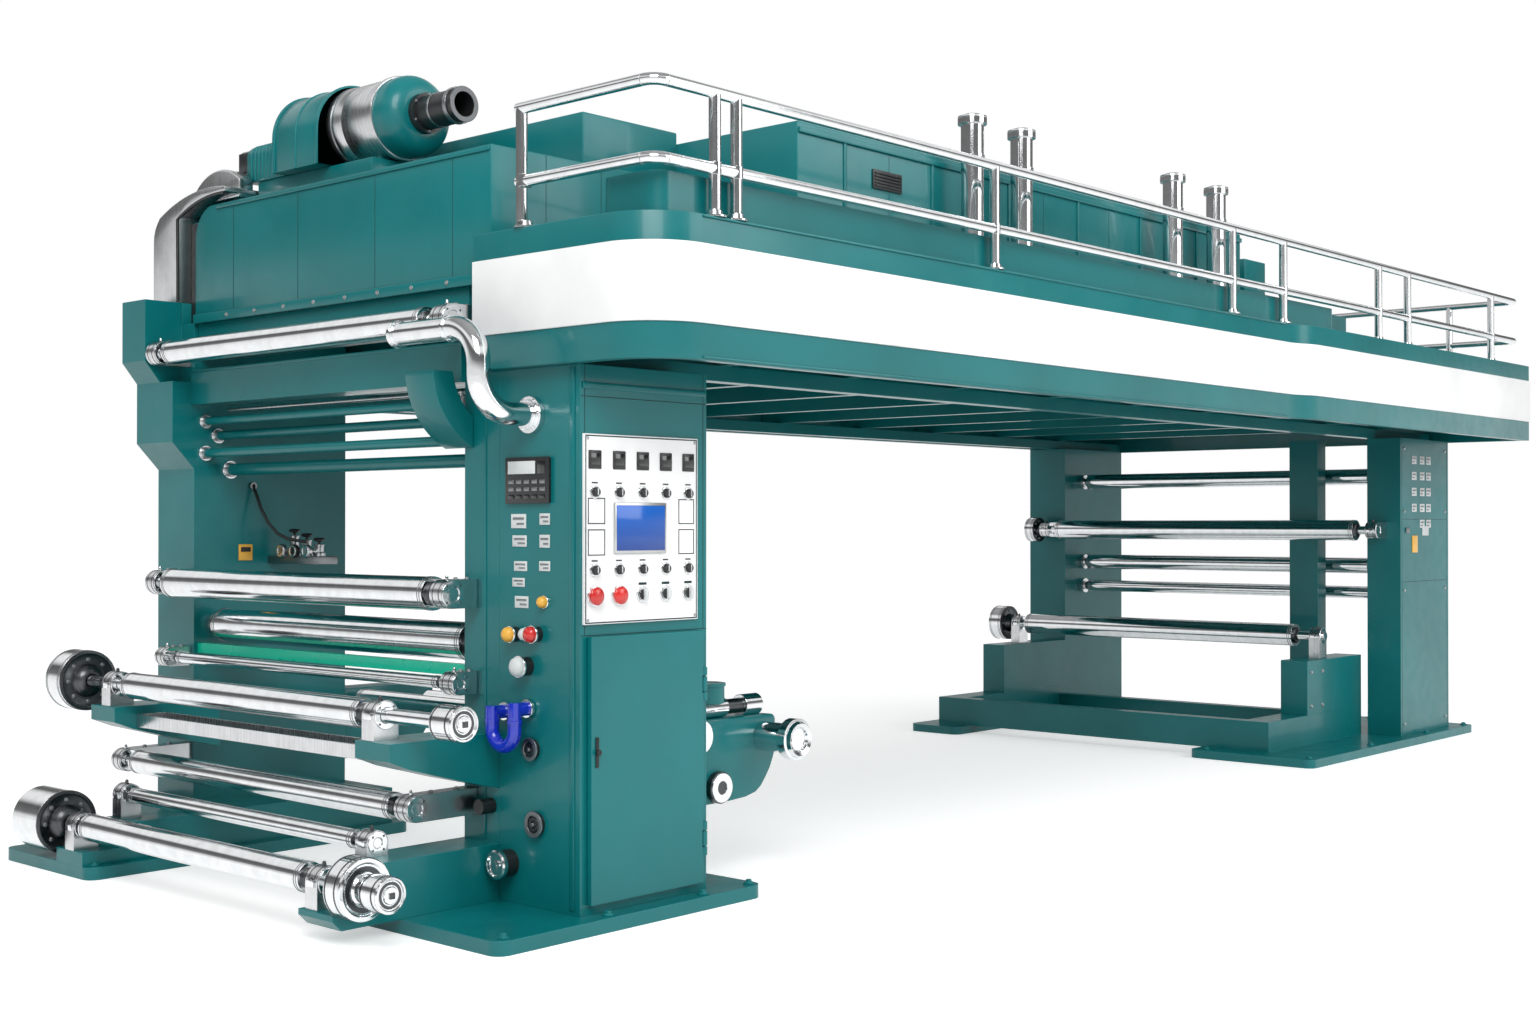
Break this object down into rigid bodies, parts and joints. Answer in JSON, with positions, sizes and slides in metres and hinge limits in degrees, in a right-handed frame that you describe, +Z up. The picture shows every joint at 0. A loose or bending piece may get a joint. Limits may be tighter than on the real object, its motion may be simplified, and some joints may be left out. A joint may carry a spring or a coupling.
{
  "type": "film printing and coating machine",
  "caption": "Film printing line with a near printing tower of rollers, an overhead drying bridge with a railed walkway, and a far winding tower.",
  "frame": {"origin": "on the floor, under the middle of the machine", "axes": "+X along the line from the near printing tower to the far winding tower, +Y across the film from the operator side to the drive side, +Z up"},
  "size_m": [10.085, 3.763, 3.7029],
  "materials": {
    "teal_paint": "gloss",
    "white_paint": "satin",
    "chrome": "polished",
    "steel": "brushed",
    "mint_paint": "gloss",
    "dark_plastic": "matte",
    "blue_plastic": "gloss"
  },
  "bodies": {
    "machine": {"near_base_plates": "teal_paint", "operator_side_base": "teal_paint", "drive_side_base": "teal_paint", "operator_side_frame": "teal_paint", "drive_side_frame": "teal_paint", "operator_cabinet": "teal_paint", "control_panel": "white_paint", "side_instruments": "dark_plastic", "front_crossbeam": "teal_paint", "unwind_arms": "teal_paint", "near_bearings": "steel", "coating_tray": "steel", "doctor_blade": "mint_paint", "valve_cluster": "steel", "dancer_guard": "teal_paint", "bent_pipe": "chrome", "ink_hose": "blue_plastic", "rear_arm": "teal_paint", "head_housing": "teal_paint", "head_edge_band": "steel", "blower_base": "teal_paint", "blower_scroll": "teal_paint", "blower_drum": "steel", "outlet_pipe": "dark_plastic", "bridge_fascia": "teal_paint", "fascia_band": "white_paint", "bridge_ribs": "teal_paint", "bridge_chords": "teal_paint", "bridge_deck": "teal_paint", "walkway_curb": "teal_paint", "drying_tunnel": "teal_paint", "exhaust_stacks": "chrome", "roof_valves": "teal_paint", "rail_front": "chrome", "rail_near_end": "chrome", "rail_far_end": "chrome", "far_base": "teal_paint", "far_operator_column": "teal_paint", "far_drive_frame": "teal_paint", "far_post": "teal_paint", "far_cradle": "teal_paint", "far_bearings": "steel"},
    "upper_roller": {"upper_roller": "chrome"},
    "nip_roller": {"nip_roller": "chrome"},
    "print_cylinder": {"print_cylinder": "chrome"},
    "doctor_roller": {"doctor_roller": "chrome"},
    "unwind_roller": {"unwind_roller": "chrome"},
    "tray_roller": {"tray_roller": "chrome"},
    "lower_roller": {"lower_roller": "chrome"},
    "guide_roller": {"guide_roller": "chrome"},
    "rewind_roller": {"rewind_roller": "chrome"},
    "rear_roller": {"rear_roller": "chrome"},
    "far_top_roller": {"far_top_roller": "chrome"},
    "far_main_roller": {"far_main_roller": "chrome"},
    "far_mid_roller": {"far_mid_roller": "chrome"},
    "far_low_roller": {"far_low_roller": "chrome"},
    "far_wind_roller": {"far_wind_roller": "chrome"},
    "cabinet_door": {"cabinet_door": "teal_paint"}
  },
  "joints": [
    {"name": "upper_roller_turn", "type": "hinge", "parent": "machine", "child": "upper_roller", "pos_m": [-4.3075, 0.4475, 2.45], "axis": [0, 1, 0], "continuous": true},
    {"name": "nip_roller_turn", "type": "hinge", "parent": "machine", "child": "nip_roller", "pos_m": [-4.3075, 0.4475, 1.315], "axis": [0, 1, 0], "continuous": true},
    {"name": "print_cylinder_turn", "type": "hinge", "parent": "machine", "child": "print_cylinder", "pos_m": [-4.0375, 0.4475, 1.1], "axis": [0, 1, 0], "continuous": true},
    {"name": "doctor_roller_turn", "type": "hinge", "parent": "machine", "child": "doctor_roller", "pos_m": [-4.2675, 0.4475, 0.945], "axis": [0, 1, 0], "continuous": true},
    {"name": "unwind_roller_turn", "type": "hinge", "parent": "machine", "child": "unwind_roller", "pos_m": [-4.6375, 0.4475, 0.845], "axis": [0, 1, 0], "continuous": true},
    {"name": "tray_roller_turn", "type": "hinge", "parent": "machine", "child": "tray_roller", "pos_m": [-4.4075, 0.4475, 0.64], "axis": [0, 1, 0], "continuous": true},
    {"name": "lower_roller_turn", "type": "hinge", "parent": "machine", "child": "lower_roller", "pos_m": [-4.4875, 0.4475, 0.455], "axis": [0, 1, 0], "continuous": true},
    {"name": "guide_roller_turn", "type": "hinge", "parent": "machine", "child": "guide_roller", "pos_m": [-4.6775, 0.4475, 0.345], "axis": [0, 1, 0], "continuous": true},
    {"name": "rewind_roller_turn", "type": "hinge", "parent": "machine", "child": "rewind_roller", "pos_m": [-4.8975, 0.4475, 0.225], "axis": [0, 1, 0], "continuous": true},
    {"name": "rear_roller_turn", "type": "hinge", "parent": "machine", "child": "rear_roller", "pos_m": [-3.1795, 0.4475, 0.655], "axis": [0, 1, 0], "continuous": true},
    {"name": "far_top_roller_turn", "type": "hinge", "parent": "machine", "child": "far_top_roller", "pos_m": [4.1425, 0.4475, 1.96], "axis": [0, 1, 0], "continuous": true},
    {"name": "far_main_roller_turn", "type": "hinge", "parent": "machine", "child": "far_main_roller", "pos_m": [3.7325, 0.4475, 1.56], "axis": [0, 1, 0], "continuous": true},
    {"name": "far_mid_roller_turn", "type": "hinge", "parent": "machine", "child": "far_mid_roller", "pos_m": [4.1425, 0.4475, 1.29], "axis": [0, 1, 0], "continuous": true},
    {"name": "far_low_roller_turn", "type": "hinge", "parent": "machine", "child": "far_low_roller", "pos_m": [4.1425, 0.4475, 1.09], "axis": [0, 1, 0], "continuous": true},
    {"name": "far_wind_roller_turn", "type": "hinge", "parent": "machine", "child": "far_wind_roller", "pos_m": [3.3225, 0.4475, 0.8], "axis": [0, 1, 0], "continuous": true},
    {"name": "cabinet_door_hinge", "type": "hinge", "parent": "machine", "child": "cabinet_door", "pos_m": [-3.4695, -1.3545, 0.6], "axis": [0, 0, 1], "range_deg": [0, 105]}
  ]
}
